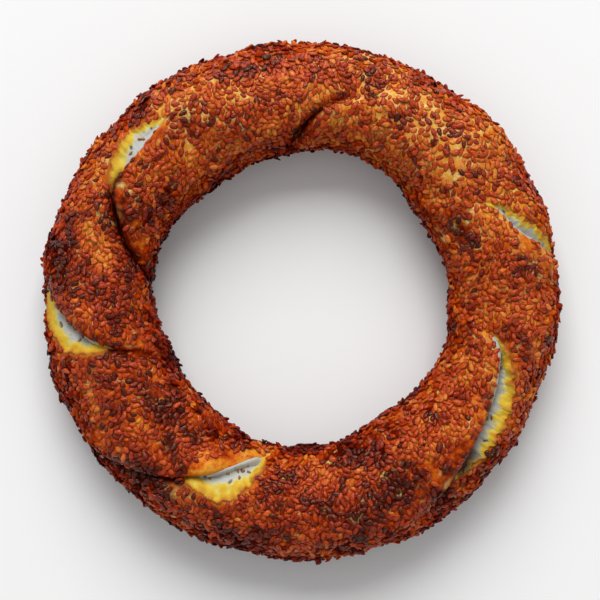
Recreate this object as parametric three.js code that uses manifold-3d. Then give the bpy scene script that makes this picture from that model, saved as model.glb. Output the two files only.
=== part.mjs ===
// A simit: a ring of bread dough twisted from two ropes, joined end to end and baked on a tray.
// Millimetres, +Z up. The origin is at the bottom centre of the ring, on the tray.
// Bearings run about +Z from +X. Section angles run about the rope's core: 0 on the outside of the
// ring, 90 at the crown, 180 on the inside of the ring.

import * as THREE from 'three';
import { ParametricGeometry } from 'three/addons/geometries/ParametricGeometry.js';
import { mergeVertices } from 'three/addons/utils/BufferGeometryUtils.js';
import Module from 'manifold-3d';

// Sizes, with the coat of sesame included
const CORE_RADIUS = 62.5; // from the ring's middle to the rope's core
const ROPE_WIDTH = 35;
const ROPE_HEIGHT = 31; // of the round rope, before its base went flat
const TRAY_CUT = 1.4; // how much of the round rope the tray flattened

// The ring was shaped by hand, so it isn't quite a circle, nor the rope quite even. Each entry is so
// many soft lobes round the ring, with their height and the bearing of one crest.
const CORE_LOBES = [
	{ count: 1, size: 1.5, crest: 60 }, // the core circle sits off the middle
	{ count: 3, size: 0.5, crest: 40 },
	{ count: 4, size: 0.5, crest: 75 },
];
const WIDTH_LOBES = [
	{ count: 1, size: 0.5, crest: 240 }, // one side of the rope is thicker
	{ count: 4, size: 1, crest: 30 }, // the hole comes out nearly four-cornered
];

// Each groove between the two ropes: the bearing at which it crosses the crown, and its lead there,
// in degrees round the section for one degree of bearing
const GROOVES = [
	{ bearing: 28, lead: 5 },
	{ bearing: 80, lead: 4 },
	{ bearing: 155, lead: 2.4 },
	{ bearing: 192, lead: 4.5 },
	{ bearing: 243, lead: 2.5 },
	{ bearing: 345, lead: 1.3 },
];
const GROOVE_SPACING = 180; // section degrees from one rope's groove to the other's
const GROOVE_DEPTH = 1.8;
const LIP_REACH = 14; // section degrees: the steep side, under the rope that rolls over
const SLOPE_REACH = 34; // section degrees: the gentle side
const LIP_RISE = 0.7; // how far the upper rope swells beside its groove

// Facets
const ALONG_RING = 132;
const AROUND_ROPE = 28;

const CRUST = new THREE.MeshStandardMaterial( { color: 0xa65129, roughness: 0.55, metalness: 0 } );

const { degToRad, euclideanModulo, smoothstep } = THREE.MathUtils;

const heightOf = ( lobes, bearing ) => lobes.reduce(
	( sum, { count, size, crest } ) => sum + size * Math.cos( degToRad( count * ( bearing - crest ) ) ),
	0,
);

// How far the twist has turned at a bearing, in section degrees: a cubic between each two grooves
function twistAt( bearing ) {

	const count = GROOVES.length;
	const from = GROOVES[ 0 ].bearing + euclideanModulo( bearing - GROOVES[ 0 ].bearing, 360 );
	let k = count - 1;
	while ( GROOVES[ k ].bearing > from ) k --;

	const here = GROOVES[ k ];
	const next = GROOVES[ ( k + 1 ) % count ];
	const gap = euclideanModulo( next.bearing - here.bearing, 360 );
	const t = ( from - here.bearing ) / gap;
	const eased = GROOVE_SPACING * t * t * ( 3 - 2 * t );
	const leads = gap * ( here.lead * t * ( 1 - t ) ** 2 - next.lead * t * t * ( 1 - t ) );
	return GROOVE_SPACING * k + eased + leads;

}

// How far the surface stands in from the plain oval section; below nought where it swells out
function grooveDepth( bearing, section ) {

	const half = GROOVE_SPACING / 2;
	const off = euclideanModulo( section - 90 - twistAt( bearing ) + half, GROOVE_SPACING ) - half;
	const reach = off > 0 ? LIP_REACH : SLOPE_REACH;
	const dip = GROOVE_DEPTH * Math.exp( - ( ( off / reach ) ** 2 ) );
	const swell = LIP_RISE * Math.exp( - ( ( ( off - 2.5 * LIP_REACH ) / SLOPE_REACH ) ** 2 ) );
	const aboveTray = smoothstep( Math.sin( degToRad( section ) ), - 0.85, - 0.3 );
	return ( dip - swell ) * aboveTray;

}

function ropeSurface( u, v, target ) {

	const section = 360 * u;
	const bearing = - 360 * v; // against the bearings, so that the faces point out
	const core = CORE_RADIUS + heightOf( CORE_LOBES, bearing );
	const spare = heightOf( WIDTH_LOBES, bearing );
	const inset = grooveDepth( bearing, section );
	const across = ( ROPE_WIDTH / 2 + spare - inset ) * Math.cos( degToRad( section ) );
	const up = ( ROPE_HEIGHT / 2 + spare / 2 - inset ) * Math.sin( degToRad( section ) );
	const out = core + across;
	target.set( out * Math.cos( degToRad( bearing ) ), out * Math.sin( degToRad( bearing ) ), up );

}

// Booleans
const wasm = await Module();
wasm.setup();

function solidOf( geometry ) {

	const plain = geometry.clone();
	plain.deleteAttribute( 'normal' );
	plain.deleteAttribute( 'uv' );
	const merged = mergeVertices( plain, 1e-4 );
	return new wasm.Manifold( new wasm.Mesh( {
		numProp: 3,
		vertProperties: merged.getAttribute( 'position' ).array,
		triVerts: new Uint32Array( merged.getIndex().array ),
	} ) );

}

function geometryOf( solid ) {

	const { vertProperties, triVerts } = solid.getMesh();
	const geometry = new THREE.BufferGeometry();
	geometry.setAttribute( 'position', new THREE.BufferAttribute( vertProperties, 3 ) );
	geometry.setIndex( new THREE.BufferAttribute( triVerts, 1 ) );
	geometry.computeVertexNormals();
	return geometry;

}

// The ring of dough, with the flat base that the tray gave it
function breadRing() {

	const trayLevel = TRAY_CUT - ROPE_HEIGHT / 2;
	const thick = ROPE_HEIGHT;
	const wide = 4 * CORE_RADIUS;
	const tray = new THREE.BoxGeometry( wide, wide, thick ).translate( 0, 0, trayLevel - thick / 2 );
	const rope = new ParametricGeometry( ropeSurface, AROUND_ROPE, ALONG_RING );
	const geometry = geometryOf( solidOf( rope ).subtract( solidOf( tray ) ) );
	geometry.computeBoundingBox();
	const middle = geometry.boundingBox.getCenter( new THREE.Vector3() );
	geometry.translate( - middle.x, - middle.y, - geometry.boundingBox.min.z );
	return geometry;

}

const simit = new THREE.Group();
const ring = new THREE.Mesh( breadRing(), CRUST );
ring.name = 'bread_ring';
simit.add( ring );

export default simit;
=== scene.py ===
"""A simit: a ring of bread twisted from two ropes, torn open along its grooves and coated in sesame.

Lengths inside the script are in millimetres and angles in degrees, until a mesh is made in metres.
Bearings run about +Z from +X. Section angles run about the rope's core: 0 on the outside of the ring,
90 at the crown and 180 on the inside. A groove's widths and depths go by bearing along its line.
"""

import math
from collections import namedtuple

import bpy
import numpy as np
from bpy.props import FloatProperty, FloatVectorProperty, IntProperty, PointerProperty
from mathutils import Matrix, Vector


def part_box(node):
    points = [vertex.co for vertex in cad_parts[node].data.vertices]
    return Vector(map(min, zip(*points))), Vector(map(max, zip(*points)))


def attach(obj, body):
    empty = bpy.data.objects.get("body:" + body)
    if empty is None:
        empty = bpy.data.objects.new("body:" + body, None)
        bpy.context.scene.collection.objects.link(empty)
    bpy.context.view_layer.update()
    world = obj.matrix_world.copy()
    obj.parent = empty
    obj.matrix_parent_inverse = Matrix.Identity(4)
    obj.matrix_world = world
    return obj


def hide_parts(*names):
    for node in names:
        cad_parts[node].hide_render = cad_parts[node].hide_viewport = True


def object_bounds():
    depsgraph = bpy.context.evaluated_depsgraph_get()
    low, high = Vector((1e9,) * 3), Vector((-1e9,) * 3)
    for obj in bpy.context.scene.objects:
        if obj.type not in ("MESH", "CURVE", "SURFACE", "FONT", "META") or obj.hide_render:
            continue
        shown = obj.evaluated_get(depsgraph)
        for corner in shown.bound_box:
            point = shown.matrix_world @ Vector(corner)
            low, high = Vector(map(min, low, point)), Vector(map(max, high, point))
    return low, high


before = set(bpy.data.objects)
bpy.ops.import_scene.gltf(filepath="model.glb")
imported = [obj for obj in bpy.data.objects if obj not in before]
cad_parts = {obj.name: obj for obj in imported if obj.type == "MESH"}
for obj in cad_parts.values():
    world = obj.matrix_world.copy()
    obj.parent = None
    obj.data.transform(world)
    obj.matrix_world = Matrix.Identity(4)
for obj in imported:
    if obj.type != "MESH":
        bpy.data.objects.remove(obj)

bl_info = {
    "name": "Simit",
    "version": (1, 0, 0),
    "blender": (4, 5, 0),
    "location": "View3D > Sidebar > Simit",
    "description": "Builds a twisted sesame bread ring around its packed frame",
    "category": "Mesh",
}

MM = 0.001
CAD_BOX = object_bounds()
RING_LOW, RING_HIGH = (np.array(corner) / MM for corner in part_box("bread_ring"))
RING_ACROSS = float((RING_HIGH - RING_LOW)[:2].mean())
RING_TALL = float((RING_HIGH - RING_LOW)[2])


def linear(code):
    """An sRGB hex value as linear red, green and blue."""
    parts = [int(code[k : k + 2], 16) / 255 for k in (0, 2, 4)]
    return tuple(c / 12.92 if c <= 0.04045 else ((c + 0.055) / 1.055) ** 2.4 for c in parts)


# ---------------------------------------------------------------- settings a user would change


class SimitDough(bpy.types.PropertyGroup):
    rope_width: FloatProperty(
        name="Rope width", description="Width of the baked rope with its seeds",
        default=35 * MM, min=20 * MM, unit="LENGTH",
    )
    coat: FloatProperty(
        name="Coat", description="How far the crust lies inside the solid, under its seeds",
        default=0.75 * MM, min=0, unit="LENGTH",
    )
    groove_depth: FloatProperty(
        name="Groove depth", description="Depth of the twist's grooves away from the tears",
        default=0.6 * MM, min=0, unit="LENGTH",
    )
    lip_rise: FloatProperty(
        name="Lip rise", description="How far the upper rope swells beside its groove",
        default=0.45 * MM, min=0, unit="LENGTH",
    )
    rumple: FloatProperty(
        name="Rumple", description="Height of the dough's broad lumps",
        default=0.38 * MM, min=0, unit="LENGTH",
    )
    orange: FloatVectorProperty(
        name="Crust", description="Evenly baked crust", subtype="COLOR", default=linear("c2560e"),
    )
    gold: FloatVectorProperty(
        name="Pale crust", description="Crust that the oven coloured least",
        subtype="COLOR", default=linear("d8902c"),
    )
    brown: FloatVectorProperty(
        name="Dark crust", description="Crust that caught the heat",
        subtype="COLOR", default=linear("420a02"),
    )
    crumb: FloatVectorProperty(
        name="Crumb", description="Torn inside of the bread", subtype="COLOR",
        default=linear("b4b4af"),
    )
    rim: FloatVectorProperty(
        name="Stretched skin", description="Thin skin beside a tear", subtype="COLOR",
        default=linear("c48a12"),
    )


class SimitSesame(bpy.types.PropertyGroup):
    length: FloatProperty(
        name="Length", description="Length of a seed", default=2.95 * MM, min=1 * MM, unit="LENGTH",
    )
    width: FloatProperty(
        name="Width", description="Width of a seed", default=1.78 * MM, min=0.5 * MM, unit="LENGTH",
    )
    thickness: FloatProperty(
        name="Thickness", description="Thickness of a seed", default=0.9 * MM, min=0.2 * MM,
        unit="LENGTH",
    )
    count: IntProperty(
        name="Seeds", description="Seeds in the coat's first layer", default=10000, min=100,
    )
    pale: FloatVectorProperty(
        name="Pale seed", description="Least toasted seed", subtype="COLOR", default=linear("dc7e2c"),
    )
    red: FloatVectorProperty(
        name="Red seed", description="Toasted, syrup-soaked seed", subtype="COLOR",
        default=linear("aa3206"),
    )
    dark: FloatVectorProperty(
        name="Burnt seed", description="Burnt seed", subtype="COLOR", default=linear("3a0500"),
    )


class SimitStage(bpy.types.PropertyGroup):
    floor: FloatVectorProperty(
        name="Floor", description="Pale floor under the ring", subtype="COLOR",
        default=linear("f0f0f0"),
    )
    key_power: FloatProperty(
        name="Key light", description="Power of the large soft lamp", default=88, min=0, unit="POWER",
    )
    fill: FloatProperty(
        name="Fill", description="Strength of the even light from all round", default=0.48, min=0,
    )


# ---------------------------------------------------------------- the twist

# A stretch of a groove, by bearing: nought at its start and end, and its full size in millimetres at
# its peak
Span = namedtuple("Span", "start peak end size")

# One groove between the two ropes. path is the edge of the rope that lies on top, as a few pairs of
# bearing and section angle. crease is how deep the groove is pressed, crumb how wide the torn crumb
# lies open beside the edge, skin how wide crumb and stretched skin are together, and lip how far the
# seeds stop short of the edge on the upper rope. depth is the tear's own depth, and ragged is how
# uneven its far edge is, as a share of its width. dull is how far its crumb has browned.
Groove = namedtuple("Groove", "name path crease crumb skin lip depth ragged dull")

GROOVES = (
    Groove(
        "long_slit", path=((-46, 62), (-36, 74), (-24, 81), (-12, 95)),
        crease=Span(-60, -45, -24, 4.8), crumb=Span(-53, -39, -8, 5.6), skin=Span(-53, -33, -9, 8.4),
        lip=Span(-47, -30, -9, 0.4), depth=3.2, ragged=0.1, dull=0.12,
    ),
    Groove(
        "pale_slit", path=((9, 12), (14, 50), (19, 72), (25, 78)),
        crease=Span(2, 14, 28, 1), crumb=Span(7, 15, 27, 4), skin=Span(4, 14, 29, 5.6),
        lip=Span(6, 16, 27, 0.3), depth=1.6, ragged=0.18, dull=0.12,
    ),
    Groove(
        "gold_crease", path=((74, 88), (80, 100), (86, 124), (90, 148)),
        crease=Span(74, 85, 96, 3.2), crumb=None, skin=None, lip=None, depth=0, ragged=0, dull=0,
    ),
    Groove(
        "white_tear", path=((126, 66), (135, 76), (147, 75), (154, 95), (165, 142)),
        crease=Span(140, 157, 179, 5.8), crumb=Span(128, 134, 143, 5.2), skin=Span(126, 135, 150, 7.8),
        lip=Span(127, 140, 157, 0.5), depth=1.3, ragged=0.1, dull=0,
    ),
    Groove(
        "leaf_tear", path=((177, 26), (184, 58), (192, 87), (198, 139)),
        crease=Span(170, 194, 208, 1.6), crumb=Span(177, 184, 192, 5.4), skin=Span(174, 181, 194, 10),
        lip=Span(177, 192, 198, 0.4), depth=1.5, ragged=0.07, dull=0,
    ),
    Groove(
        "wide_tear", path=((222, 42), (236, 80), (245, 108), (253, 139)),
        crease=Span(212, 232, 246, 4), crumb=Span(237, 248, 257, 4.8), skin=Span(235, 246, 259, 10.6),
        lip=Span(232, 246, 258, 5), depth=2.2, ragged=0.1, dull=0,
    ),
)
HALF_TURN = 180  # section degrees from one rope's groove to the other's

# Where the tray's heat caught the crust, or the dough stayed bare: bearing, section angle, the patch's
# half-length along the ring, its half-width round the rope, and how strongly
Patch = namedtuple("Patch", "bearing section along around strength")

BURNT = (
    Patch(169, 43, 9, 6, 1.2), Patch(290, 131, 7, 4, 0.9), Patch(297, 76, 9, 7, 1.0),
    Patch(24, 123, 7, 6, 0.7), Patch(219, 111, 9, 6, 0.5), Patch(266, 60, 10, 5, 0.4),
)
BARE = (
    Patch(237, 64, 6, 3, 1.0), Patch(204, 63, 5, 3, 0.8), Patch(160, 80, 3, 4, 0.8),
    Patch(125, 63, 5, 3, 0.8), Patch(54, 68, 10, 3, 0.55), Patch(42, 84, 6, 4, 0.5),
)

# The pale sides of the ring, where the syrup lay thin and the crust shows gold between the seeds
PALE = (
    Patch(58, 78, 34, 15, 1.0), Patch(92, 72, 18, 11, 0.6), Patch(79, 118, 8, 6, 0.9),
    Patch(25, 62, 20, 10, 0.5), Patch(108, 80, 22, 11, 0.7), Patch(150, 118, 10, 7, 0.45),
    Patch(235, 118, 14, 7, 0.15), Patch(320, 110, 18, 9, 0.2),
)

TWIST_EASE = 4.0  # degrees of bearing, each way, over which a groove's path is rounded at its knots
TABLE_STEP = 0.5  # degrees of bearing between the entries of the twist's table
TABLE_BEARINGS = np.arange(0, 360, TABLE_STEP)


def twist_table():
    """The section angle of the first groove at each bearing of the table, unwrapped."""
    knots = []
    for turn, groove in enumerate(GROOVES):
        knots += [(bearing, section + HALF_TURN * turn) for bearing, section in groove.path]
    whole = HALF_TURN * len(GROOVES)
    knots = [(b - 360, s - whole) for b, s in knots] + knots + [(b + 360, s + whole) for b, s in knots]
    window = np.hanning(int(2 * TWIST_EASE / TABLE_STEP) + 3)[1:-1]
    window /= window.sum()
    spare = len(window) // 2
    padded = np.arange(-spare, len(TABLE_BEARINGS) + spare) * TABLE_STEP
    rough = np.interp(padded, *zip(*knots))
    return np.convolve(rough, window, "valid")


TWIST = twist_table()


def twist_at(bearing):
    """How far the twist has turned at these bearings, in section degrees."""
    whole = HALF_TURN * len(GROOVES)
    laps = np.floor(bearing / 360)
    ends = np.append(TABLE_BEARINGS, 360)
    return np.interp(bearing - 360 * laps, ends, np.append(TWIST, TWIST[0] + whole)) + laps * whole


def along(span, foot):
    """A groove's width or depth at each bearing: full at the span's peak and nought at its ends."""
    if span is None:
        return np.zeros_like(foot)
    off = wrap(foot - span.peak)
    reach = np.where(off < 0, span.peak - span.start, span.end - span.peak)
    return span.size * np.cos(np.clip(np.abs(off) / reach, 0, 1) * math.pi / 2)


def turn_of(groove):
    """Which half turn of the twist a groove is."""
    return HALF_TURN * GROOVES.index(groove)


def wrap(angle, whole=360):
    """An angle brought to between minus and plus half of the whole."""
    return (angle + whole / 2) % whole - whole / 2


def upward(section):
    """How far a section angle points up: 1 at the crown, 0 at the flanks and -1 underneath."""
    return np.sin(np.radians(section))


def bump(x, width):
    """1 at nought, falling away smoothly over the width."""
    return np.exp(-((x / width) ** 2))


def step(x, low, high):
    """0 below low, 1 above high, and smooth between."""
    t = np.clip((x - low) / (high - low), 0, 1)
    return t * t * (3 - 2 * t)


def rumple_field(points, size, seed, waves=24):
    """A smooth random height from -1 to 1 or so at each point, with lumps of about the given size."""
    rng = np.random.default_rng(seed)
    total = np.zeros(points.shape[:-1])
    for _ in range(waves):
        direction = rng.normal(size=3)
        direction *= 2 * math.pi / (size * rng.uniform(1.3, 2.8)) / np.linalg.norm(direction)
        total += np.sin(points @ direction + rng.uniform(0, 2 * math.pi))
    return total / math.sqrt(waves / 2)


def lobe_height(lobes, bearing):
    """How high soft lobes stand at each bearing. A lobe is how many there are, a height and a crest."""
    return sum(height * np.cos(np.radians(count * (bearing - crest))) for count, height, crest in lobes)


def level_ways(bearing):
    """The level directions at each bearing: out from the ring's middle, and onward along the ring."""
    turn = np.radians(bearing)
    outward = np.stack([np.cos(turn), np.sin(turn), 0 * turn], -1)
    return outward, np.stack([-np.sin(turn), np.cos(turn), 0 * turn], -1)


def unit(vectors):
    """Vectors brought to length 1."""
    return vectors / np.linalg.norm(vectors, axis=-1, keepdims=True)


# ---------------------------------------------------------------- the ring's surface


class Dough:
    """The crust's surface as a grid that follows the twist, with its colours and bare patches."""

    ALONG = 498
    AROUND = 200
    CROWDING = 0.62  # how much closer the grid's lines run beside the grooves
    # Soft lobes of the core line and of the rope's half-width: how many, their height and one crest
    CORE_LOBES = ((1, 1.5, 60), (3, 0.5, 40), (4, 0.5, 75))
    WIDTH_LOBES = ((1, 0.5, 240), (4, 1, 30))
    TRAY_CUT = 1.4  # how much of the round rope the tray flattened
    HEADROOM = 0.7  # how much lower than the solid's top the crown stays, for the seeds on it
    BASE_ROUNDING = 0.9  # how softly the flat base turns up into the sides
    GROOVE_WIDE, GROOVE_STEEP = 5.5, 2.6  # how far a plain groove reaches, each side of its line
    NEAR_GROOVE = 20  # creases and tears are worked out this far from a groove's line
    SLAB = 0.5  # the room left under a tear's crumb
    EVEN_TOAST = 0.44  # from 0, unbaked, to 1, burnt
    TRAY_TOAST_AND_FLANK_SHADE = 0.34  # how much darker the lower side and flanks are: the tray's heat below, and painted shade on the flanks
    HOT_SIDE = 235  # the bearing of the side that baked darkest

    def __init__(self, dough):
        self.dough = dough
        self.coat = dough.coat / MM
        self.half_width = dough.rope_width / MM / 2
        self.half_height = (RING_TALL + self.TRAY_CUT - self.HEADROOM) / 2
        self.core = RING_ACROSS / 2 - self.half_width
        self.make_grid()

    def core_radius(self, bearing):
        """The radius of the rope's core line, with the lobes that it was shaped with."""
        return self.core + lobe_height(self.CORE_LOBES, bearing)

    def spare_width(self, bearing):
        """How much thicker than its mean half-width the rope is."""
        return lobe_height(self.WIDTH_LOBES, bearing)

    def slant(self, bearing, section):
        """The groove's lean from the ring's direction, and the radii about the core and the axis."""
        about_core = self.half_width + self.spare_width(bearing)
        about_axis = self.core_radius(bearing) + about_core * np.cos(np.radians(section))
        lead = (twist_at(bearing + 1) - twist_at(bearing - 1)) / 2
        return np.arctan(lead * about_core / about_axis), about_core, about_axis

    def beside(self, groove, bearing, section):
        """How far each point lies from a groove, and the bearing of the groove's nearest point."""
        off = wrap(section - twist_at(bearing) + turn_of(groove))
        lean, about_core, about_axis = self.slant(bearing, section)
        arc = np.radians(off) * about_core
        distance = arc * np.cos(lean)
        foot = bearing + np.degrees(arc * np.sin(lean) * np.cos(lean) / about_axis)
        return distance, foot

    def place_beside(self, groove, foot, distance):
        """The bearing and section angle at a distance from a groove's line, square to it."""
        section = twist_at(foot) - turn_of(groove)
        lean, about_core, about_axis = self.slant(foot, section)
        bearing = foot - np.degrees(distance * np.sin(lean) / about_axis)
        return bearing, section + np.degrees(distance * np.cos(lean) / about_core)

    def tear_widths(self, groove, foot):
        """The widths of a groove's crumb, and of its crumb and skin together, ragged along the edge."""
        uneven = np.sin(foot * 1.4 + 7 * groove.depth) + 0.7 * np.sin(foot * 3.3)
        uneven += 0.15 * np.sin(foot * 7.9 + 1)
        crumb, skin = along(groove.crumb, foot), along(groove.skin, foot)
        return crumb * (1 + groove.ragged * uneven), skin * (1 + 0.5 * groove.ragged * uneven)

    def relief(self, bearing, section):
        """Grooves, creases and tears: inset, roll, skin, bare crust, lips, and painted shade by the creases.
        """
        inset, roll, skin, bare, lips, crease_shade = (np.zeros_like(bearing) for _ in range(6))
        above = step(upward(section), -0.75, 0.1)
        off = wrap(section - twist_at(bearing), HALF_TURN)
        lean, about_core, _ = self.slant(bearing, section)
        across = np.radians(off) * about_core * np.cos(lean)
        soft = np.where(across < 0, bump(across, self.GROOVE_WIDE), bump(across, self.GROOVE_STEEP))
        inset += self.dough.groove_depth / MM * soft * above
        inset -= self.dough.lip_rise / MM * bump(across - 5, 4) * above
        for groove in GROOVES:
            distance, foot = self.beside(groove, bearing, section)
            near = (np.abs(distance) < self.NEAR_GROOVE) & (upward(section) > -0.6)
            pressed = along(groove.crease, foot) * near
            inside = distance - 0.2 * pressed  # the crease runs back under the upper rope's edge
            inset += pressed * np.where(inside < 0, bump(inside, 2.3), bump(inside, 0.7))
            inset -= 0.15 * pressed * bump(inside - 2.8, 2.4)  # the upper rope bulges over the crease
            roll += 0.45 * np.minimum(pressed, 4) * bump(inside - 1.1, 1.1)
            bare = np.maximum(bare, np.minimum(pressed / 2.5, 1) * bump(inside + 0.7, 0.7))
            # painted shade: the crust darkens beside a pressed crease, where its shade falls
            crease_shade = np.maximum(crease_shade, np.minimum(pressed / 3, 1) * bump(inside + 1.4, 3.2))
            edge = along(groove.lip, foot) * near
            on_lip = step(edge - distance, -0.2, 0.5) * (distance > -0.5) * (edge > 0.1)
            bare = np.maximum(bare, on_lip)
            past_lip = np.clip(distance - edge * 0.6, 0, None)
            lips = np.maximum(lips, step(edge, 0.4, 2) * bump(past_lip, 1.2) * (distance > -1))
            if not groove.crumb:
                continue
            torn, whole = (width * near for width in self.tear_widths(groove, foot))
            open_ = step(torn, 0, 2.2)
            fold = groove.depth * open_
            slope = np.clip((-distance - 0.45 * torn) / np.maximum(whole - 0.45 * torn, 0.05), 0, 1)
            floor = fold * (1 - slope) ** 1.2 + 0.35 * step(whole, 0.3, 2) * bump(slope - 0.5, 0.5)
            inset += np.where(distance < 0, floor * (whole > 0.1), fold * bump(distance, 0.4))
            bed = step(distance + whole, -0.3, 0.5) * step(0.6 - distance, 0, 0.6)
            inset += self.SLAB * bed * step(whole, 0.1, 0.8)  # where the crumb's slab lies
            proud = open_ * min(groove.depth / 2.5, 1)
            inset -= 0.55 * proud * bump(distance - 2.2, 1.9)  # the lip stands proud
            roll += 0.4 * proud * bump(distance - 0.9, 0.9)
            beyond = np.clip(-distance - whole, 0, None)
            spread = (distance < 0.4) * step(whole, 0.2, 1.2)
            skin = np.maximum(skin, spread * bump(beyond, 0.9))
            bare = np.maximum(bare, spread * step(0.4 - beyond, -0.3, 0.3))
        return inset, roll, skin, bare, lips, crease_shade

    def patches(self, spots, bearing, section, points):
        """How strongly a set of soft patches covers each point, with broken edges."""
        total = np.zeros_like(bearing)
        # below nought, a patch would grow stronger with distance instead of fading
        broken = np.maximum(1 + 0.35 * rumple_field(points, size=3.0, seed=31), 0.4)
        _, about_core, about_axis = self.slant(bearing, section)
        for spot in spots:
            onward = np.radians(wrap(bearing - spot.bearing)) * about_axis / spot.along
            around = np.radians(wrap(section - spot.section)) * about_core / spot.around
            total = np.maximum(total, spot.strength * np.exp(-(onward**2 + around**2) * broken))
        return total

    def make_grid(self):
        """Lays the grid along the twist, gives it its shape, and keeps the fields that the pieces read."""
        bearing = 360 * np.arange(self.ALONG) / self.ALONG
        self.line_share = np.append(np.arange(self.AROUND) / self.AROUND, 1)
        self.line_angle = 360 * self.line_share - self.CROWDING * 90 / math.pi * np.sin(
            4 * math.pi * self.line_share
        )
        bearing, offset = np.meshgrid(bearing, self.line_angle[:-1], indexing="ij")
        section = twist_at(bearing) + offset
        inset, roll, skin, bare, lips, crease_shade = self.relief(bearing, section)

        angle = np.radians(section)
        outward, onward = level_ways(bearing)
        up = np.array([0, 0, 1.0])
        spare = self.spare_width(bearing)
        wide = self.half_width + spare - self.coat
        tall = self.half_height + spare / 2 - self.coat
        core = self.core_radius(bearing)[..., None] * outward
        ray = np.cos(angle)[..., None] * outward + np.sin(angle)[..., None] * up
        around = -np.sin(angle)[..., None] * outward + np.cos(angle)[..., None] * up
        plain = core + (wide * np.cos(angle))[..., None] * outward
        plain = plain + (tall * np.sin(angle))[..., None] * up

        grain = 0.14 + 0.12 * bare
        lumps = self.dough.rumple / MM * (
            rumple_field(plain, size=13, seed=3) + 0.4 * rumple_field(plain, size=5, seed=4)
            + grain * rumple_field(plain, size=1.6, seed=5, waves=60)
        )
        lean, _, _ = self.slant(bearing, section)
        across_groove = np.cos(lean)[..., None] * around - np.sin(lean)[..., None] * onward
        points = plain + (lumps * (1 - 0.5 * skin) - inset)[..., None] * ray
        points = points - roll[..., None] * across_groove

        base = self.coat * 0.8
        height = points[..., 2] + self.half_height - self.TRAY_CUT - base
        points[..., 2] = base + (height + np.sqrt(height**2 + self.BASE_ROUNDING**2)) / 2
        plan = points[..., :2]
        plan += (RING_LOW + RING_HIGH)[:2] / 2 - (plan.max((0, 1)) + plan.min((0, 1))) / 2

        self.points = points
        self.normals = grid_normals(points)
        self.skin, self.bare = skin, bare
        self.bake(bearing, section, plain, lips, crease_shade)

    def bake(self, bearing, section, plain, lips, crease_shade):
        """How toasted, how pale and how golden the crust is, from 0 to 1 at each point of the grid, the
        toast with painted shade by the creases and on the flanks.
        """
        turn, angle = np.radians(bearing), np.radians(section)
        self.bare_patch = self.patches(BARE, bearing, section, plain)
        self.pale = self.patches(PALE, bearing, section, plain)
        burnt = self.patches(BURNT, bearing, section, plain)
        drift = rumple_field(plain, size=9, seed=11) * 0.1 + rumple_field(plain, size=3.2, seed=12) * 0.09
        # darker on the lower side from the tray's heat, and on the flanks as painted shade
        tray_and_flank_shade = self.TRAY_TOAST_AND_FLANK_SHADE * step(-np.sin(angle), -0.5, 0.2)
        hot = np.cos(turn - math.radians(self.HOT_SIDE))
        drift += 0.1 * hot
        # painted shade darkens the crust beside the creases; burnt patches, bare patches, lips and pale
        # patches are its own colour
        drift += (
            0.55 * burnt + 0.55 * crease_shade * (1 - lips) - 0.2 * self.bare_patch - 0.22 * lips - 0.12 * self.pale
        )
        self.toast = np.clip(self.EVEN_TOAST + drift + tray_and_flank_shade, 0, 1)
        speckle = 0.8 * rumple_field(plain, size=3.4, seed=13, waves=40)
        speckle = speckle + rumple_field(plain, size=1.6, seed=14, waves=40)
        spots = step(speckle + 1.7 * self.pale - 0.7 * hot, 0.85, 2.4)
        crown = step(np.sin(angle), -0.25, 0.35)
        # less gold where the painted shade beside the creases lies
        self.gold = np.clip((0.8 * self.bare_patch + spots) * crown - 0.6 * lips - 0.8 * crease_shade, 0, 1)

    def cell_of(self, bearing, section):
        """The four grid points round each place, and their weights."""
        x = (bearing % 360) / 360 * self.ALONG
        share = np.interp((section - twist_at(bearing)) % 360, self.line_angle, self.line_share)
        y = share * self.AROUND
        i, j = np.floor(x).astype(int), np.floor(y).astype(int)
        u, v = x - i, y - j
        # the grid's lines follow the twist, so both ends of a cell have the same offset from the groove
        corners = []
        for di, wi in ((0, 1 - u), (1, u)):
            for dj, wj in ((0, 1 - v), (1, v)):
                corners.append(((i + di) % self.ALONG, (j + dj) % self.AROUND, wi * wj))
        return corners

    def read(self, field, bearing, section):
        """A grid's field at any places, blended between the grid's points."""
        total = 0
        for i, j, weight in self.cell_of(bearing, section):
            value = field[i, j]
            total = total + value * (weight[:, None] if value.ndim > 1 else weight)
        return total


def grid_normals(points):
    """Unit normals of a grid that closes on itself both ways."""
    onward, around = (np.roll(points, -1, axis) - np.roll(points, 1, axis) for axis in (0, 1))
    return unit(np.cross(onward, around))


# ---------------------------------------------------------------- making meshes


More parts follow.
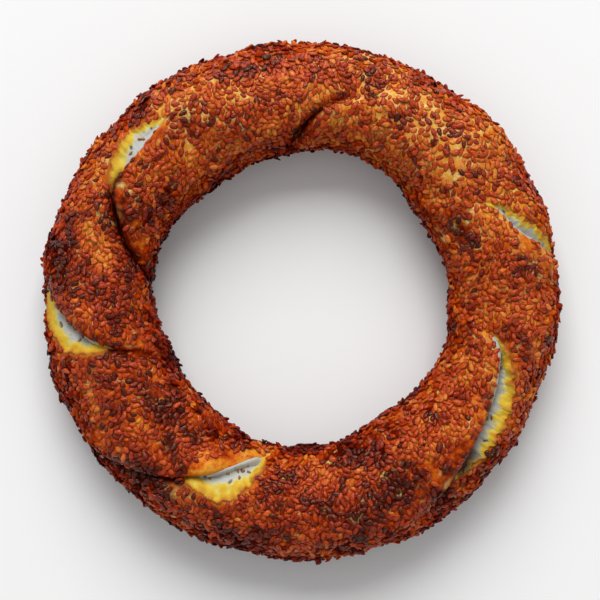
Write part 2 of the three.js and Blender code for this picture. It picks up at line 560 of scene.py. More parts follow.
def build_mesh(name, points, quads, triangles=None, uv=None, tone=None):
    """An object with these millimetre points and faces, smooth, with its map and its tone colours."""
    for part, values in (("points", points), ("map", uv), ("tone", tone)):
        if values is not None and not np.isfinite(values).all():
            raise RuntimeError(f"{name} has {part} that aren't finite")
    corners = [quads.reshape(-1)]
    sizes = [np.full(len(quads), 4)]
    if triangles is not None:
        corners.append(triangles.reshape(-1))
        sizes.append(np.full(len(triangles), 3))
    corners, sizes = np.concatenate(corners), np.concatenate(sizes)
    mesh = bpy.data.meshes.new(name)
    mesh.vertices.add(len(points))
    mesh.vertices.foreach_set("co", (points * MM).astype(np.float32).reshape(-1))
    mesh.loops.add(len(corners))
    mesh.loops.foreach_set("vertex_index", corners.astype(np.int32))
    mesh.polygons.add(len(sizes))
    mesh.polygons.foreach_set("loop_start", (np.cumsum(sizes) - sizes).astype(np.int32))
    mesh.polygons.foreach_set("use_smooth", np.ones(len(sizes), bool))
    mesh.update(calc_edges=True)
    if uv is not None:
        layer = mesh.uv_layers.new(name="OFBake")
        layer.data.foreach_set("uv", uv.astype(np.float32).reshape(-1))
    if tone is not None:
        layer = mesh.color_attributes.new(name="tone", type="FLOAT_COLOR", domain="POINT")
        layer.data.foreach_set("color", tone.astype(np.float32).reshape(-1))
    if mesh.validate():
        raise RuntimeError(f"{name} has broken faces")
    return add_object(name, mesh)


def add_object(name, data):
    """A new object in the scene that holds the data."""
    thing = bpy.data.objects.new(name, data)
    bpy.context.scene.collection.objects.link(thing)
    return thing


def grid_faces(rows, columns, closed=True):
    """The quads of a grid of points, closed both ways or open both ways."""
    last = (rows, columns) if closed else (rows - 1, columns - 1)
    i, j = np.meshgrid(np.arange(last[0]), np.arange(last[1]), indexing="ij")
    i2, j2 = (i + 1) % rows, (j + 1) % columns
    quads = np.stack([i * columns + j, i2 * columns + j, i2 * columns + j2, i * columns + j2], -1)
    shares = np.stack([np.stack([i + a, j + b], -1) for a, b in ((0, 0), (1, 0), (1, 1), (0, 1))], 2)
    return quads.reshape(-1, 4), shares.reshape(-1, 2) / np.array(last, float)


def drop_faces(around, rows):
    """The quads, end triangles and map of a drop: rows of points round it, then its two end points."""
    ends = rows * around
    last = ends - around
    quads, quad_map, triangles, triangle_map = [], [], [], []
    for k in range(around):
        n = (k + 1) % around
        for r in range(rows - 1):
            a = r * around
            quads.append([a + n, a + around + n, a + around + k, a + k])
            quad_map += [(k + 1, r + 1), (k + 1, r + 2), (k, r + 2), (k, r + 1)]
        triangles += [[n, k, ends], [last + n, ends + 1, last + k]]
        triangle_map += [(k + 1, 1), (k, 1), (k + 0.5, 0)]
        triangle_map += [(k + 1, rows), (k + 0.5, rows + 1), (k, rows)]
    face_map = np.array(quad_map + triangle_map, float) / (around, rows + 1)
    return np.array(quads), np.array(triangles), face_map


def repeat_faces(faces, copies, point_count):
    """The faces of several copies of a shape, where each copy's points follow those of the last."""
    starts = point_count * np.arange(copies)
    return (faces + starts[:, None, None]).reshape(-1, faces.shape[1])


def tone_of(*channels):
    """Up to four 0-to-1 fields side by side, as the tone colours of a mesh."""
    fields = [np.asarray(c, float).reshape(-1) for c in channels]
    while len(fields) < 4:
        fields.append(np.ones_like(fields[0]))
    return np.stack(fields, -1)


# ---------------------------------------------------------------- materials


def add(tree, kind, inputs=None, stops=None, **settings):
    """Adds a shader node with its settings, its ramp's stops, and its sockets' values or links.

    An input may be a value, another node's socket, or another node, whose first output is then linked.
    """
    node = tree.nodes.new("ShaderNode" + kind)
    for name, value in settings.items():
        setattr(node, name, value)
    if stops:
        ramp = node.color_ramp.elements
        while len(ramp) < len(stops):
            ramp.new(0.5)
        for element, (place, colour) in zip(ramp, stops):
            element.position = place
            element.color = (*colour, 1)
    for key, value in (inputs or {}).items():
        value = value.outputs[0] if isinstance(value, bpy.types.Node) else value
        if isinstance(value, bpy.types.NodeSocket):
            tree.links.new(value, node.inputs[key])
        else:
            node.inputs[key].default_value = value
    return node


def new_material(name):
    """A material, its node tree with all but the place cleared, and the place's socket, in millimetres."""
    material = bpy.data.materials.new(name)
    material.use_nodes = True
    tree = material.node_tree
    tree.nodes.clear()
    place = add(tree, "TexCoord")
    in_mm = add(tree, "VectorMath", {0: place.outputs["Object"], 1: (1 / MM,) * 3}, operation="MULTIPLY")
    return material, tree, in_mm.outputs[0]


def crust_material(dough):
    """Wheat crust, dipped in grape molasses and baked.

    The syrup gives it a warm half-gloss, the oven's uneven heat drifts it from gold through orange to
    a burnt red-brown, and the stretched skin beside the tears stays a thin, bright yellow. Painted
    shade darkens it beside the creases and on the flanks.
    """
    material, tree, place = new_material("molasses_glazed_wheat_crust")
    tone = add(tree, "Attribute", attribute_name="tone")
    channel = add(tree, "SeparateColor", {0: tone.outputs["Color"]})
    # blotches of toast 2 mm across, freckles 0.6 mm, and the skin's wrinkles 1.1 mm
    mottle = add(tree, "TexNoise", {"Vector": place, "Scale": 0.5, "Detail": 5.0, "Roughness": 0.68})
    freckle = add(tree, "TexNoise", {"Vector": place, "Scale": 1.6, "Detail": 3.0})
    toast = add(tree, "MapRange", {"Value": mottle, 1: 0.3, 2: 0.7, 3: -0.32, 4: 0.3})
    # the first tone channel is the grid's toast, with its painted shade beside the creases and on the flanks
    heat = add(tree, "Math", {0: channel.outputs[0], 1: toast}, operation="ADD")
    baked = add(tree, "ValToRGB", {0: heat}, stops=(
        (0.05, tuple(dough.gold)), (0.36, tuple(dough.orange)), (0.64, linear("922a04")),
        (0.92, tuple(dough.brown)),
    ))
    pale = add(tree, "MapRange", {"Value": freckle, 1: 0.35, 2: 0.65, 3: 0.35, 4: 1.0})
    straw = add(tree, "ValToRGB", {0: mottle}, stops=(
        (0.4, linear("cc902a")), (0.56, linear("e2cc7c")),
    ))
    gilt = add(tree, "Math", {0: channel.outputs[1], 1: pale}, operation="MULTIPLY",
               use_clamp=True)
    golden = add(tree, "Mix", {0: gilt, 6: baked, 7: straw},
                 data_type="RGBA")
    torn = add(tree, "Mix", {0: channel.outputs[2], 6: golden.outputs[2], 7: (*linear("a85c18"), 1)},
               data_type="RGBA")
    wrinkle = add(tree, "TexNoise", {"Vector": place, "Scale": 0.9, "Detail": 4.0, "Roughness": 0.6})
    relief = add(tree, "Bump", {"Height": wrinkle, "Strength": 0.8, "Distance": 0.25 * MM})
    gloss = add(tree, "MapRange", {"Value": freckle, 1: 0.3, 2: 0.7, 3: 0.34, 4: 0.5})
    shader = add(tree, "BsdfPrincipled", {
        "Base Color": torn.outputs[2], "Roughness": gloss, "Normal": relief,
        "IOR": 1.45, "Specular IOR Level": 0.25, "Specular Tint": (1, 0.5, 0.25, 1),
    })
    add(tree, "OutputMaterial", {0: shader})
    return material


def sesame_material(sesame, name, gloss, glaze):
    """Hulled sesame, toasted in molasses.

    Each seed has its own depth of toast, which carries the painted shade beside the creases and on
    the flanks, a darker outline of painted shade round its edges and tips, and a slightly puckered
    skin. gloss is the skin's own specular level, and glaze the weight of the clear syrup over it: on
    the crown the syrup glazed the seeds, and they pick small highlights out of the light; lower down
    it ran off and they stay dull.
    """
    material, tree, place = new_material(name)
    tone = add(tree, "Attribute", attribute_name="tone")
    channel = add(tree, "SeparateColor", {0: tone.outputs["Color"]})
    # streaks of toast 0.9 mm long, a third of a seed, and puckers 0.4 mm across
    streak = add(tree, "TexNoise", {"Vector": place, "Scale": 1.1, "Detail": 4.0, "Roughness": 0.6})
    uneven = add(tree, "MapRange", {"Value": streak, 1: 0.3, 2: 0.7, 3: -0.2, 4: 0.2})
    heat = add(tree, "Math", {0: channel.outputs[0], 1: uneven}, operation="ADD")
    toasted = add(tree, "ValToRGB", {0: heat}, stops=(
        (0.03, tuple(sesame.pale)), (0.26, linear("c24c0e")), (0.5, tuple(sesame.red)),
        (0.74, linear("701202")), (0.95, tuple(sesame.dark)),
    ))
    # painted shade: the outline darkens each seed's edges and tips, where it meets the crust
    outline = add(tree, "Mix", {0: channel.outputs[1], 6: toasted, 7: (*linear("4c0a02"), 1)},
                  data_type="RGBA")
    pucker = add(tree, "TexNoise", {"Vector": place, "Scale": 2.4, "Detail": 2.0})
    relief = add(tree, "Bump", {"Height": pucker, "Strength": 1.0, "Distance": 0.3 * MM})
    shader = add(tree, "BsdfPrincipled", {
        "Base Color": outline.outputs[2], "Roughness": 0.23, "Normal": relief,
        "IOR": 1.42, "Specular IOR Level": gloss, "Specular Tint": (1, 0.56, 0.38, 1),
        "Coat Weight": glaze, "Coat Roughness": 0.12, "Coat IOR": 1.49, "Coat Tint": (1, 0.84, 0.66, 1),
    })
    add(tree, "OutputMaterial", {0: shader})
    return material


def crumb_material(dough):
    """Wheat crumb, torn open in the oven.

    Matt and nearly white where it split last, drying to yellow at its edges, with gas cells and
    stretched gluten strands that shade it softly. It browns in places, and painted shade darkens its
    pits and the deep crease beside the lip.
    """
    material, tree, place = new_material("torn_wheat_crumb")
    tone = add(tree, "Attribute", attribute_name="tone")
    channel = add(tree, "SeparateColor", {0: tone.outputs["Color"]})
    # gas cells 0.8 mm across
    cells = add(tree, "TexNoise", {"Vector": place, "Scale": 1.3, "Detail": 5.0, "Roughness": 0.65})
    drying = add(tree, "MapRange", {"Value": cells, 1: 0.3, 2: 0.7, 3: -0.08, 4: 0.08})
    dried = add(tree, "Math", {0: channel.outputs[0], 1: drying}, operation="ADD")
    colour = add(tree, "ValToRGB", {0: dried}, stops=(
        (0.12, tuple(dough.crumb)), (0.32, linear("c8c080")), (0.5, linear("d2b22a")),
        (0.72, tuple(dough.rim)), (0.96, linear("a4581a")),
    ))
    # the second tone channel browns the crumb, and darkens it with painted shade in its pits and deep beside
    # the lip
    browned_and_shaded = add(tree, "Mix", {0: channel.outputs[1], 6: colour, 7: (*linear("482608"), 1)},
                  data_type="RGBA")
    relief = add(tree, "Bump", {"Height": cells, "Strength": 0.7, "Distance": 0.2 * MM})
    shader = add(tree, "BsdfPrincipled", {
        "Base Color": browned_and_shaded.outputs[2], "Roughness": 0.7, "Normal": relief, "IOR": 1.4,
    })
    add(tree, "OutputMaterial", {0: shader})
    return material


def syrup_material():
    """Grape molasses, boiled to a glassy bead in the oven.

    Dark amber with a wet gloss, so each bead shows a dark outline and one small light.
    """
    material, tree, place = new_material("set_grape_molasses")
    # clouding 0.7 mm across, about half a bead
    cloud = add(tree, "TexNoise", {"Vector": place, "Scale": 1.4, "Detail": 2.0})
    colour = add(tree, "ValToRGB", {0: cloud}, stops=(
        (0.35, linear("5a2c0a")), (0.65, linear("a8701e")),
    ))
    shader = add(tree, "BsdfPrincipled", {
        "Base Color": colour, "Roughness": 0.08, "IOR": 1.49, "Specular IOR Level": 0.8,
    })
    add(tree, "OutputMaterial", {0: shader})
    return material


# ---------------------------------------------------------------- sesame


def close_pairs(points, reach):
    """Every two points less than reach apart, found through a grid of cells."""
    cell = np.floor(points / reach).astype(np.int64)
    cell -= cell.min(0) - 1
    span = cell.max(0) + 2
    key = (cell[:, 0] * span[1] + cell[:, 1]) * span[2] + cell[:, 2]
    order = np.argsort(key, kind="stable")
    ordered = key[order]
    near = [(a, b, c) for a in (-1, 0, 1) for b in (-1, 0, 1) for c in (-1, 0, 1)]
    firsts, seconds = [], []
    for a, b, c in near[13:]:
        target = key + (a * span[1] + b) * span[2] + c
        start = np.searchsorted(ordered, target, "left")
        counts = np.searchsorted(ordered, target, "right") - start
        first = np.repeat(np.arange(len(points)), counts)
        within = np.arange(counts.sum()) - np.repeat(np.cumsum(counts) - counts, counts)
        second = order[np.repeat(start, counts) + within]
        keep = first < second if (a, b, c) == (0, 0, 0) else slice(None)
        firsts.append(first[keep])
        seconds.append(second[keep])
    first, second = np.concatenate(firsts), np.concatenate(seconds)
    keep = ((points[first] - points[second]) ** 2).sum(1) < reach**2
    return first[keep], second[keep]


class SeedCoat:
    """Where every sesame seed lies on the dough."""

    RANDOM_SEED = 2024
    BATCH = 4000  # seeds dropped at a time
    FARTHEST = 82  # no skin lies further from the axis, so the chance of sticking never passes 1
    TOO_BARE = 0.35  # crust this bare holds no seed
    PUSHED_TO_BARE = 0.5  # a seed that was pushed on to crust this bare falls off
    JOSTLES = 20  # rounds of pushing apart
    EASE = 0.75  # the share of each push that a round takes
    LONGEST_PUSH = 0.35
    LARGEST_TURN = 0.3  # in radians
    # Three balls along a seed stand for its teardrop: where they lie, as a share of their reach, and
    # their radii, as a share of the seed's width
    BALL_PLACES = np.array([-1.0, 0.05, 1.0])
    BALL_RADII = np.array([0.43, 0.5, 0.36])
    STACKED = 0.14  # share of extra seeds that lie on top of the others
    STEEPEST = 0.65  # how far a seed may stand on end, in radians

    def __init__(self, ring, sesame):
        self.ring = ring
        self.sesame = sesame
        self.rng = np.random.default_rng(self.RANDOM_SEED)
        self.scatter()
        self.jostle()

    def welcome(self, bearing, section):
        """How likely a seed is to stick at each place."""
        bare = self.ring.read(self.ring.bare, bearing, section)
        patch = self.ring.read(self.ring.bare_patch, bearing, section)
        pale = self.ring.read(self.ring.pale, bearing, section)
        under = 0.35 * step(-upward(section), 0.55, 0.95)
        return (bare < self.TOO_BARE) * np.clip(1 - 0.85 * patch - 0.17 * pale - under, 0, 1)

    def scatter(self):
        """Drops seeds evenly over the ring's skin, fewer where it is bare."""
        bearings, sections = [], []
        count = 0
        while count < self.sesame.count:
            bearing = self.rng.uniform(0, 360, self.BATCH)
            section = self.rng.uniform(0, 360, self.BATCH)
            _, _, about_axis = self.ring.slant(bearing, section)
            chance = self.welcome(bearing, section) * about_axis / self.FARTHEST
            kept = self.rng.uniform(0, 1, self.BATCH) < chance
            bearings.append(bearing[kept])
            sections.append(section[kept])
            count += int(kept.sum())
        self.bearing = np.concatenate(bearings)[: self.sesame.count]
        self.section = np.concatenate(sections)[: self.sesame.count]
        self.heading = self.rng.uniform(0, 2 * math.pi, len(self.bearing))

    def frames(self, bearing, section, heading):
        """Each seed's place and its long, side and upward axes, then the skin's two directions there."""
        place = self.ring.read(self.ring.points, bearing, section)
        up = unit(self.ring.read(self.ring.normals, bearing, section))
        _, onward = level_ways(bearing)
        onward = unit(onward - (onward * up).sum(1, keepdims=True) * up)
        around = np.cross(up, onward)
        long = np.cos(heading)[:, None] * onward + np.sin(heading)[:, None] * around
        return place, long, np.cross(up, long), up, onward, around

    def jostle(self):
        """Pushes seeds that overlap apart, and turns them to fit, as grains settle."""
        length, width = self.sesame.length / MM, self.sesame.width / MM
        reach = (length - width) / 2
        offsets = self.BALL_PLACES * reach
        radii = self.BALL_RADII * width
        for _ in range(self.JOSTLES):
            place, long, _, up, onward, around = self.frames(self.bearing, self.section, self.heading)
            spots = (place[:, None] + offsets[None, :, None] * long[:, None]).reshape(-1, 3)
            radius = np.tile(radii, len(place))
            owner = np.repeat(np.arange(len(place)), 3)
            arm = np.tile(offsets, len(place))
            first, second = close_pairs(spots, width)
            apart = owner[first] != owner[second]
            first, second = first[apart], second[apart]
            gap = spots[first] - spots[second]
            distance = np.linalg.norm(gap, axis=1) + 1e-6
            overlap = np.clip(radius[first] + radius[second] - distance, 0, None)
            push = gap * (overlap / distance * 0.5)[:, None]
            shift = np.zeros_like(place)
            spin = np.zeros(len(place))
            crowd = np.zeros(len(place))
            for spot, sign in ((first, 1), (second, -1)):
                who = owner[spot]
                for axis in range(3):
                    shift[:, axis] += np.bincount(who, sign * push[:, axis], len(place))
                side = np.cross(long[who] * arm[spot][:, None], sign * push)
                spin += np.bincount(who, (side * up[who]).sum(1), len(place)) / (reach**2 * 2 + width**2)
                crowd += np.bincount(who, overlap, len(place))
            size = np.linalg.norm(shift, axis=1, keepdims=True)
            shift *= self.EASE * np.minimum(1, self.LONGEST_PUSH / (size + 1e-6))
            _, about_core, about_axis = self.ring.slant(self.bearing, self.section)
            self.bearing = self.bearing + np.degrees((shift * onward).sum(1) / about_axis)
            self.section = self.section + np.degrees((shift * around).sum(1) / about_core)
            self.heading = self.heading + np.clip(self.EASE * spin, -self.LARGEST_TURN, self.LARGEST_TURN)
        self.crowd = crowd
        kept = self.ring.read(self.ring.bare, self.bearing, self.section) < self.PUSHED_TO_BARE
        self.bearing, self.section = self.bearing[kept], self.section[kept]
        self.heading, self.crowd = self.heading[kept], self.crowd[kept]

    def settle(self):
        """Every seed's bearing, place and axes, the stacked ones too, its toast, and if it is glazed."""
        rng = self.rng
        extra = rng.choice(len(self.bearing), int(self.STACKED * len(self.bearing)), replace=False)
        top = np.sin(np.radians(self.section[extra])) > -0.5
        extra = extra[top]
        bearing = np.concatenate([self.bearing, self.bearing[extra] + rng.normal(0, 0.8, len(extra))])
        section = np.concatenate([self.section, self.section[extra] + rng.normal(0, 3, len(extra))])
        heading = np.concatenate([self.heading, rng.uniform(0, 2 * math.pi, len(extra))])
        crowd = np.concatenate([self.crowd, np.ones(len(extra))])
        count = len(bearing)
        stacked = np.arange(count) >= len(self.bearing)
        place, long, side, up, _, _ = self.frames(bearing, section, heading)
        # the tray pressed the lowest seeds flat; of the rest a few stand up, and more on the flanks
        flat = step(-upward(section), 0.5, 0.95)
        flank = step(np.abs(np.cos(np.radians(section))), 0.6, 0.9)
        restless = np.where(rng.uniform(size=count) < 0.04 + 0.14 * flank, 0.5, 0.08 + 0.1 * flank)
        tilt = restless * rng.normal(0, 1, count)
        tilt += np.where(stacked, rng.normal(0, 0.16, count), 0)
        tilt += np.clip(crowd, 0, 1) * rng.normal(0, 0.1, count)
        tilt = np.clip(tilt, -self.STEEPEST, self.STEEPEST) * (1 - 0.85 * flat)
        bank = rng.normal(0, 0.18, count) * (1 - 0.85 * flat)
        long, up = tip(long, up, tilt)
        side, up = tip(side, up, bank)
        thick = self.sesame.thickness / MM
        lift = thick * (-0.04 + 0.16 * np.clip(crowd, 0, 1.2) + rng.uniform(-0.16, 0.16, count))
        lift = np.where(stacked, lift + 0.45 * thick, lift) * (1 - 0.6 * flat)
        lift += 0.35 * np.abs(np.sin(tilt)) * self.sesame.length / MM * (1 - flat)
        place = place + lift[:, None] * up
        # the seeds take the crust's toast, with its painted shade beside the creases and on the flanks
        toast = self.ring.read(self.ring.toast, bearing, section) + rng.normal(0, 0.165, count)
        toast += 0.2 * self.ring.read(self.ring.pale, bearing, section) + 0.05
        # the syrup ran off the ring's sides, and left fewer of the seeds there glazed
        glazed = rng.uniform(size=count) < step(upward(section), 0.25, 0.85)
        return bearing, place, long, side, up, np.clip(toast, 0.02, 0.98), glazed


def tip(first, second, angle):
    """Two axes turned together by an angle in radians, the first towards the second."""
    cosine, sine = np.cos(angle)[:, None], np.sin(angle)[:, None]
    return cosine * first + sine * second, cosine * second - sine * first


def seed_shapes(sesame, kinds, rng):
    """A few teardrop seeds as points, with their shared faces, map and outline shade."""
    around = 8  # points in each ring of a seed, at these shares of its length
    stations = np.array([0.05, 0.17, 0.35, 0.56, 0.76, 0.92])
    angle = 2 * math.pi * np.arange(around) / around
    length, width, thick = (getattr(sesame, k) / MM for k in ("length", "width", "thickness"))
    shapes = []
    for _ in range(kinds):
        blunt, point = rng.uniform(0.46, 0.58), rng.uniform(0.62, 0.86)
        peak = blunt / (blunt + point)
        swell = stations**blunt * (1 - stations) ** point / (peak**blunt * (1 - peak) ** point)
        long = length * rng.uniform(0.84, 1.08)
        wide = width * rng.uniform(0.84, 1.12)
        tall = thick * rng.uniform(0.85, 1.2)
        bend, sway = rng.normal(0, 0.05), rng.normal(0, 0.04)
        x = (stations - 0.5) * long
        dent = 1 + rng.normal(0, 0.08, (len(stations), around))
        arch = 4 * (stations[:, None] - 0.5) ** 2
        y = swell[:, None] * wide / 2 * np.cos(angle) * dent + sway * long * arch
        lens = 1 - 0.22 * np.cos(angle) ** 2
        z = swell[:, None] * tall / 2 * np.sin(angle) * lens * dent + bend * long * arch
        rings = np.stack([np.repeat(x[:, None], around, 1), y, z], -1).reshape(-1, 3)
        ends = np.array([[-long / 2, sway * long, bend * long], [long / 2, sway * long, bend * long]])
        shapes.append(np.vstack([rings, ends]))
    # the outline is painted shade, darkest at a seed's sides and tips
    edge = np.tile(np.abs(np.cos(angle)) ** 6, len(stations))
    tips = np.repeat((stations - 0.5) ** 2 * 3.2, around)
    outline = np.clip(np.append(np.maximum(edge, tips), [1, 1]), 0, 1)
    return np.array(shapes), *drop_faces(around, len(stations)), outline


# ---------------------------------------------------------------- crumb


CRUMB_GRID = (0.17, 0.16)  # the spacing of a tear's crumb, along the tear and across it
CRUMB_THICK = 0.5


def crumb_patch(ring, groove):
    """One tear's crumb and stretched skin: a thin closed slab whose borders sink into the dough."""
    low, high = groove.skin.start, groove.skin.end
    widest = groove.skin.size * (1 + groove.ragged)
    _, _, about_axis = ring.slant(np.array([(low + high) / 2]), np.array([75.0]))
    run = math.radians(high - low) * float(about_axis[0])
    rows, columns = int(run / CRUMB_GRID[0]), int((widest + 2) / CRUMB_GRID[1])
    foot = np.linspace(low, high, rows)[:, None] + np.zeros(columns)
    distance = np.linspace(1.0, -widest - 1, columns)[None] + np.zeros((rows, 1))
    bearing, section = ring.place_beside(groove, foot, distance)
    place, normal = (
        ring.read(field, bearing.reshape(-1), section.reshape(-1)).reshape(rows, columns, 3)
        for field in (ring.points, ring.normals)
    )
    distance, foot = ring.beside(groove, bearing, section)
    torn, whole = ring.tear_widths(groove, foot)

    strands = np.stack([foot * 5, distance * 0.8, 0 * foot], -1)
    fibre = rumple_field(strands, size=1.9, seed=51, waves=60)
    cells = rumple_field(place, size=1.5, seed=52, waves=40)
    crinkle = rumple_field(place, size=1.7, seed=53, waves=40)
    lump = rumple_field(place, size=3.5, seed=54)
    on_crumb = 1 - step(-distance - torn, -0.5, 0.4)
    near_lip = bump(np.clip(-distance, 0, None), 2.2)
    pit = step(cells, 1.25, 2.0) * on_crumb
    rise = ring.SLAB + 0.16 + on_crumb * (0.02 + 0.015 * near_lip) * fibre + 0.1 * lump - 0.4 * pit
    rise += (1 - on_crumb) * (0.12 * crinkle + 0.02 * fibre)
    inside = step(whole + distance, -0.35, 0.35) * step(0.95 - distance, 0, 0.5) * step(whole, 0.1, 0.8)
    points = place + (rise * inside - 0.45 * (1 - inside))[..., None] * normal

    stretch = np.clip((-distance - torn) / np.maximum(whole - torn, 0.3), 0, 1)
    dried = 0.2 * step(-distance / np.maximum(torn, 0.3), 0.4, 1)
    dried += step(-distance - torn, -0.9, 0.7) * (0.26 + 0.2 * stretch + 0.3 * stretch**5)
    dried = np.where(torn < 0.6, np.maximum(dried, 0.5), dried)
    dried = np.clip(dried + 0.05 * crinkle + 0.012 * fibre, 0, 1)
    # painted shade: the crumb darkens deep in a pressed crease beside the lip, and in its pits; dull is the
    # crumb's own browning
    deep_crease_shade = np.clip((along(groove.crease, foot) - 2) / 2, 0, 1)
    pocket = 1.4 + 6 * step(along(groove.crease, foot), 4.4, 4.75)
    in_pocket = bump(np.clip(-distance, 0, None), pocket)
    browning_and_shade = np.clip(groove.dull * on_crumb + 0.75 * pit + deep_crease_shade * in_pocket, 0, 1)

    quads, shares = grid_faces(rows, columns, closed=False)
    kept = inside.reshape(-1)[quads].max(1) > 0
    quads, shares = quads[kept], shares.reshape(-1, 4, 2)[kept]
    return slab(
        points.reshape(-1, 3), normal.reshape(-1, 3), quads[:, ::-1], shares[:, ::-1],
        tone_of(dried, browning_and_shade), CRUMB_THICK,
    )


def slab(points, normals, quads, shares, tone, thickness):
    """A sheet of quads thickened downward and closed round its border: points, quads, map and tone."""
    used, quads = np.unique(quads, return_inverse=True)
    quads = quads.reshape(-1, 4)
    points, normals, tone = points[used], normals[used], tone[used]
    count = len(points)
    sides = np.stack([quads, np.roll(quads, -1, 1)], -1).reshape(-1, 2)
    corner = np.stack([shares, np.roll(shares, -1, 1)], 2).reshape(-1, 2, 2)
    key = np.sort(sides, 1)
    key = key[:, 0] * count + key[:, 1]
    _, where, times = np.unique(key, return_inverse=True, return_counts=True)
    rim = times[where.reshape(-1)] == 1
    edge, edge_map = sides[rim], corner[rim]
    walls = np.stack([edge[:, 1], edge[:, 0], edge[:, 0] + count, edge[:, 1] + count], -1)
    wall_map = np.stack([edge_map[:, 1], edge_map[:, 0], edge_map[:, 0], edge_map[:, 1]], 1)
    faces = np.vstack([quads, quads[:, ::-1] + count, walls])
    uv = np.concatenate([shares, shares[:, ::-1], wall_map]).reshape(-1, 2)
    return np.vstack([points, points - thickness * normals]), faces, uv, np.vstack([tone, tone])


# Beads of syrup that ran to a tear's edge and set: the groove, the bearings between which they lie,
# and how many there are
BEADS = (("wide_tear", 238, 252, 8), ("long_slit", -34, -14, 8), ("white_tear", 133, 140, 3))


def bead_shapes(ring, rng):
    """Low drops of set syrup, each a little dome drawn out across its tear, as points and faces."""
    around, rows = 10, 5
    angle = 2 * math.pi * np.arange(around) / around
    rise = np.linspace(-0.5, 0.5, rows) * math.pi * 0.9
    beads = []
    for name, first, last, count in BEADS:
        groove = next(g for g in GROOVES if g.name == name)
        for foot in rng.uniform(first, last, count):
            distance = -rng.uniform(0.1, 0.9) * float(along(groove.crumb, np.array([foot]))[0])
            bearing, section = ring.place_beside(groove, np.array([foot]), distance)
            place = ring.read(ring.points, bearing, section)[0]
            up = unit(ring.read(ring.normals, bearing, section)[0])
            heading = rng.uniform(0, math.pi)
            side = unit(np.cross(up, [math.cos(heading), math.sin(heading), 0]))
            long = np.cross(side, up)
            length, width, height = rng.uniform(0.5, 0.85), rng.uniform(0.32, 0.45), rng.uniform(0.3, 0.4)
            wobble = 1 + rng.normal(0, 0.07, (rows, around))
            reach = np.cos(rise)[:, None] * wobble
            drawn = width * reach * np.sin(angle) + 0.2 * length * np.cos(angle) ** 2 * reach
            blob = (
                place + (ring.SLAB + 0.25) * up
                + (length * reach * np.cos(angle))[..., None] * long
                + drawn[..., None] * side
                + (height * np.sin(rise)[:, None] * wobble)[..., None] * up
            ).reshape(-1, 3)
            ends = np.array([blob[:around].mean(0) - 0.05 * up, blob[-around:].mean(0) + 0.03 * up])
            beads.append(np.vstack([blob, ends]))
    quads, triangles, _ = drop_faces(around, rows)
    quads = np.roll(quads, 1, 1)  # so that each quad splits along its other diagonal
    faces = (repeat_faces(kind, len(beads), len(beads[0])) for kind in (quads, triangles))
    return np.vstack(beads), *faces


# ---------------------------------------------------------------- operators


STORE = {}


def ready(context):
    """The dough's surface, made once and kept for the pieces that lie on it."""
    if "ring" not in STORE:
        STORE["ring"] = Dough(context.scene.simit_dough)
    return STORE["ring"]


class SIMIT_OT_bread(bpy.types.Operator):
    """Builds the twisted ring of bread with its grooves, lips and tears"""

    bl_idname = "simit.bread"
    bl_label = "Bread ring"

    def execute(self, context):
        ring = ready(context)
        quads, shares = grid_faces(ring.ALONG, ring.AROUND)
        tone = tone_of(ring.toast, ring.gold, ring.skin)
        bread = build_mesh("baked_bread", ring.points.reshape(-1, 3), quads, uv=shares, tone=tone)
        bread.data.materials.append(crust_material(context.scene.simit_dough))
        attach(bread, "root")
        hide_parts("bread_ring")
        return {"FINISHED"}


class SIMIT_OT_crumb(bpy.types.Operator):
    """Lines each tear with its torn crumb"""

    bl_idname = "simit.crumb"
    bl_label = "Torn crumb"

    def execute(self, context):
        ring = ready(context)
        material = crumb_material(context.scene.simit_dough)
        for groove in GROOVES:
            if not groove.crumb:
                continue
            points, quads, uv, tone = crumb_patch(ring, groove)
            crumb = build_mesh("crumb_" + groove.name, points, quads, uv=uv, tone=tone)
            crumb.data.materials.append(material)
            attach(crumb, "root")
        return {"FINISHED"}


class SIMIT_OT_syrup(bpy.types.Operator):
    """Sets beads of syrup along the edges of the tears"""

    bl_idname = "simit.syrup"
    bl_label = "Syrup beads"

    def execute(self, context):
        points, quads, triangles = bead_shapes(ready(context), np.random.default_rng(9))
        beads = build_mesh("syrup_beads", points, quads, triangles)
        beads.data.materials.append(syrup_material())
        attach(beads, "root")
        return {"FINISHED"}


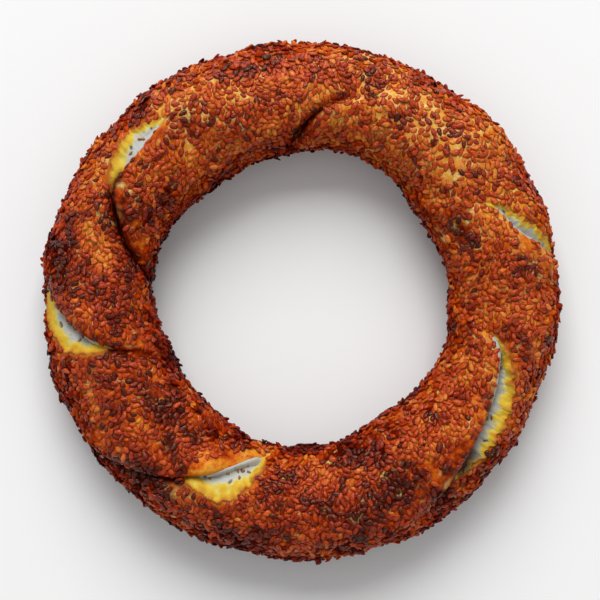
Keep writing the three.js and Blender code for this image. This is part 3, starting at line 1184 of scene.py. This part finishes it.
class SIMIT_OT_sesame(bpy.types.Operator):
    """Coats the ring in sesame, seed by seed"""

    bl_idname = "simit.sesame"
    bl_label = "Sesame coat"

    SECTORS = 12  # objects that the coat is split into, round the ring
    KINDS = 14  # shapes of seed
    LOWEST = 0.02  # no seed reaches lower above the tray
    MARGIN = 0.06  # left free round each seed's cell of the map, as a share of the cell

    def execute(self, context):
        ring = ready(context)
        sesame = context.scene.simit_sesame
        coat = SeedCoat(ring, sesame)
        bearing, place, long, side, up, toast, glazed = coat.settle()
        rng = np.random.default_rng(5)
        shapes, quads, triangles, cell_map, outline = seed_shapes(sesame, self.KINDS, rng)
        kind = rng.integers(0, self.KINDS, len(place))
        size = rng.normal(0.98, 0.09, len(place)).clip(0.75, 1.2)
        local = shapes[kind] * size[:, None, None]
        points = (
            place[:, None]
            + local[..., 0:1] * long[:, None]
            + local[..., 1:2] * side[:, None]
            + local[..., 2:3] * up[:, None]
        )
        points[..., 2] = np.maximum(points[..., 2], self.LOWEST)
        dull = sesame_material(sesame, "dry_toasted_sesame", gloss=0.05, glaze=0)
        shiny = sesame_material(sesame, "molasses_glazed_sesame", gloss=0.55, glaze=0.2)
        each = points.shape[1]
        # how strongly each seed's outline of painted shade darkens it
        shade = rng.uniform(0.2, 0.75, len(place))
        for sector in range(self.SECTORS):
            mine = np.flatnonzero((bearing % 360 // (360 / self.SECTORS)).astype(int) == sector)
            grid = math.ceil(math.sqrt(len(mine)))
            cell = np.stack([np.arange(len(mine)) % grid, np.arange(len(mine)) // grid], -1)
            uv = (cell[:, None] + self.MARGIN + (1 - 2 * self.MARGIN) * cell_map[None]) / grid
            quad_uv, triangle_uv = uv[:, : quads.size], uv[:, quads.size :]
            tone = tone_of(np.repeat(toast[mine], each), shade[mine][:, None] * outline[None])
            seeds = build_mesh(
                f"sesame_{sector + 1:02d}", points[mine].reshape(-1, 3),
                repeat_faces(quads, len(mine), each), repeat_faces(triangles, len(mine), each),
                uv=np.concatenate([quad_uv.reshape(-1, 2), triangle_uv.reshape(-1, 2)]), tone=tone,
            )
            seeds.data.materials.append(dull)
            seeds.data.materials.append(shiny)
            finish = np.concatenate([np.repeat(glazed[mine], len(faces)) for faces in (quads, triangles)])
            seeds.data.polygons.foreach_set("material_index", finish.astype(np.int32))
            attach(seeds, "root")
        return {"FINISHED"}


class SIMIT_OT_stage(bpy.types.Operator):
    """Lays the pale floor, hangs the soft lights and sets the camera overhead"""

    bl_idname = "simit.stage"
    bl_label = "Stage"

    LENS = 110
    SENSOR = 36
    VIEW_ACROSS = 186.2  # in view at the height of the rope's core
    CORE_HEIGHT = 15.0
    OFF_MIDDLE = (-0.37, 0.45)  # from the ring's middle to the camera
    FLOOR_REACH = 3000.0
    LAMP_PLACE = (-0.1, 2.2, 2.0)  # in metres, as is its size
    LAMP_SIZE = 2.0

    def execute(self, context):
        stage = context.scene.simit_stage
        corners = np.array([[-1, -1, 0], [1, -1, 0], [1, 1, 0], [-1, 1, 0]]) * self.FLOOR_REACH
        floor = build_mesh("floor", corners, np.array([[0, 1, 2, 3]]))
        material, tree, place = new_material("matt_white_paper")
        # a wove paper's cloudy grain, 2 mm across
        grain = add(tree, "TexNoise", {"Vector": place, "Scale": 0.5, "Detail": 2.0})
        relief = add(tree, "Bump", {"Height": grain, "Strength": 0.05, "Distance": 0.05 * MM})
        shader = add(tree, "BsdfPrincipled", {
            "Base Color": (*stage.floor, 1), "Roughness": 0.85, "Normal": relief,
            "Specular IOR Level": 0.2,
        })
        add(tree, "OutputMaterial", {0: shader})
        floor.data.materials.append(material)

        world = bpy.data.worlds.new("even_fill")
        world.use_nodes = True
        background = world.node_tree.nodes["Background"]
        background.inputs["Color"].default_value = (1, 1, 1, 1)
        background.inputs["Strength"].default_value = stage.fill
        context.scene.world = world

        light = bpy.data.lights.new("key", "AREA")
        light.size = self.LAMP_SIZE
        light.energy = stage.key_power
        lamp = add_object("key", light)
        lamp.location = self.LAMP_PLACE
        lamp.rotation_euler = (-Vector(self.LAMP_PLACE)).to_track_quat("-Z", "Y").to_euler()

        camera = add_object("overhead", bpy.data.cameras.new("overhead"))
        camera.data.lens = self.LENS
        camera.data.sensor_width = self.SENSOR
        distance = self.VIEW_ACROSS * self.LENS / self.SENSOR
        centre = (CAD_BOX[0] + CAD_BOX[1]) / 2
        right, back = self.OFF_MIDDLE
        height = self.CORE_HEIGHT + distance
        camera.location = (centre.x + right * MM, centre.y + back * MM, height * MM)
        context.scene.camera = camera
        context.scene.view_settings.view_transform = "Standard"
        return {"FINISHED"}


class SIMIT_PT_panel(bpy.types.Panel):
    """Lists the simit's pieces and settings"""

    bl_idname = "SIMIT_PT_panel"
    bl_label = "Simit"
    bl_space_type = "VIEW_3D"
    bl_region_type = "UI"
    bl_category = "Simit"

    def draw(self, context):
        for operator in OPERATORS:
            self.layout.operator(operator.bl_idname)
        for group in (context.scene.simit_dough, context.scene.simit_sesame, context.scene.simit_stage):
            box = self.layout.box()
            for name in group.bl_rna.properties.keys():
                if name not in ("rna_type", "name"):
                    box.prop(group, name)


GROUPS = {"simit_dough": SimitDough, "simit_sesame": SimitSesame, "simit_stage": SimitStage}
OPERATORS = (SIMIT_OT_bread, SIMIT_OT_crumb, SIMIT_OT_syrup, SIMIT_OT_sesame, SIMIT_OT_stage)


def register():
    for cls in (*GROUPS.values(), *OPERATORS, SIMIT_PT_panel):
        bpy.utils.register_class(cls)
    for name, group in GROUPS.items():
        setattr(bpy.types.Scene, name, PointerProperty(type=group))


def unregister():
    for name in GROUPS:
        delattr(bpy.types.Scene, name)
    for cls in (SIMIT_PT_panel, *reversed(OPERATORS), *reversed(GROUPS.values())):
        bpy.utils.unregister_class(cls)


def main():
    register()
    for name in ("Cube", "Light", "Camera"):
        if name in bpy.data.objects:
            bpy.data.objects.remove(bpy.data.objects[name])
    bpy.ops.simit.bread()
    bpy.ops.simit.crumb()
    bpy.ops.simit.syrup()
    bpy.ops.simit.sesame()
    bpy.ops.simit.stage()


if __name__ == "__main__":
    main()
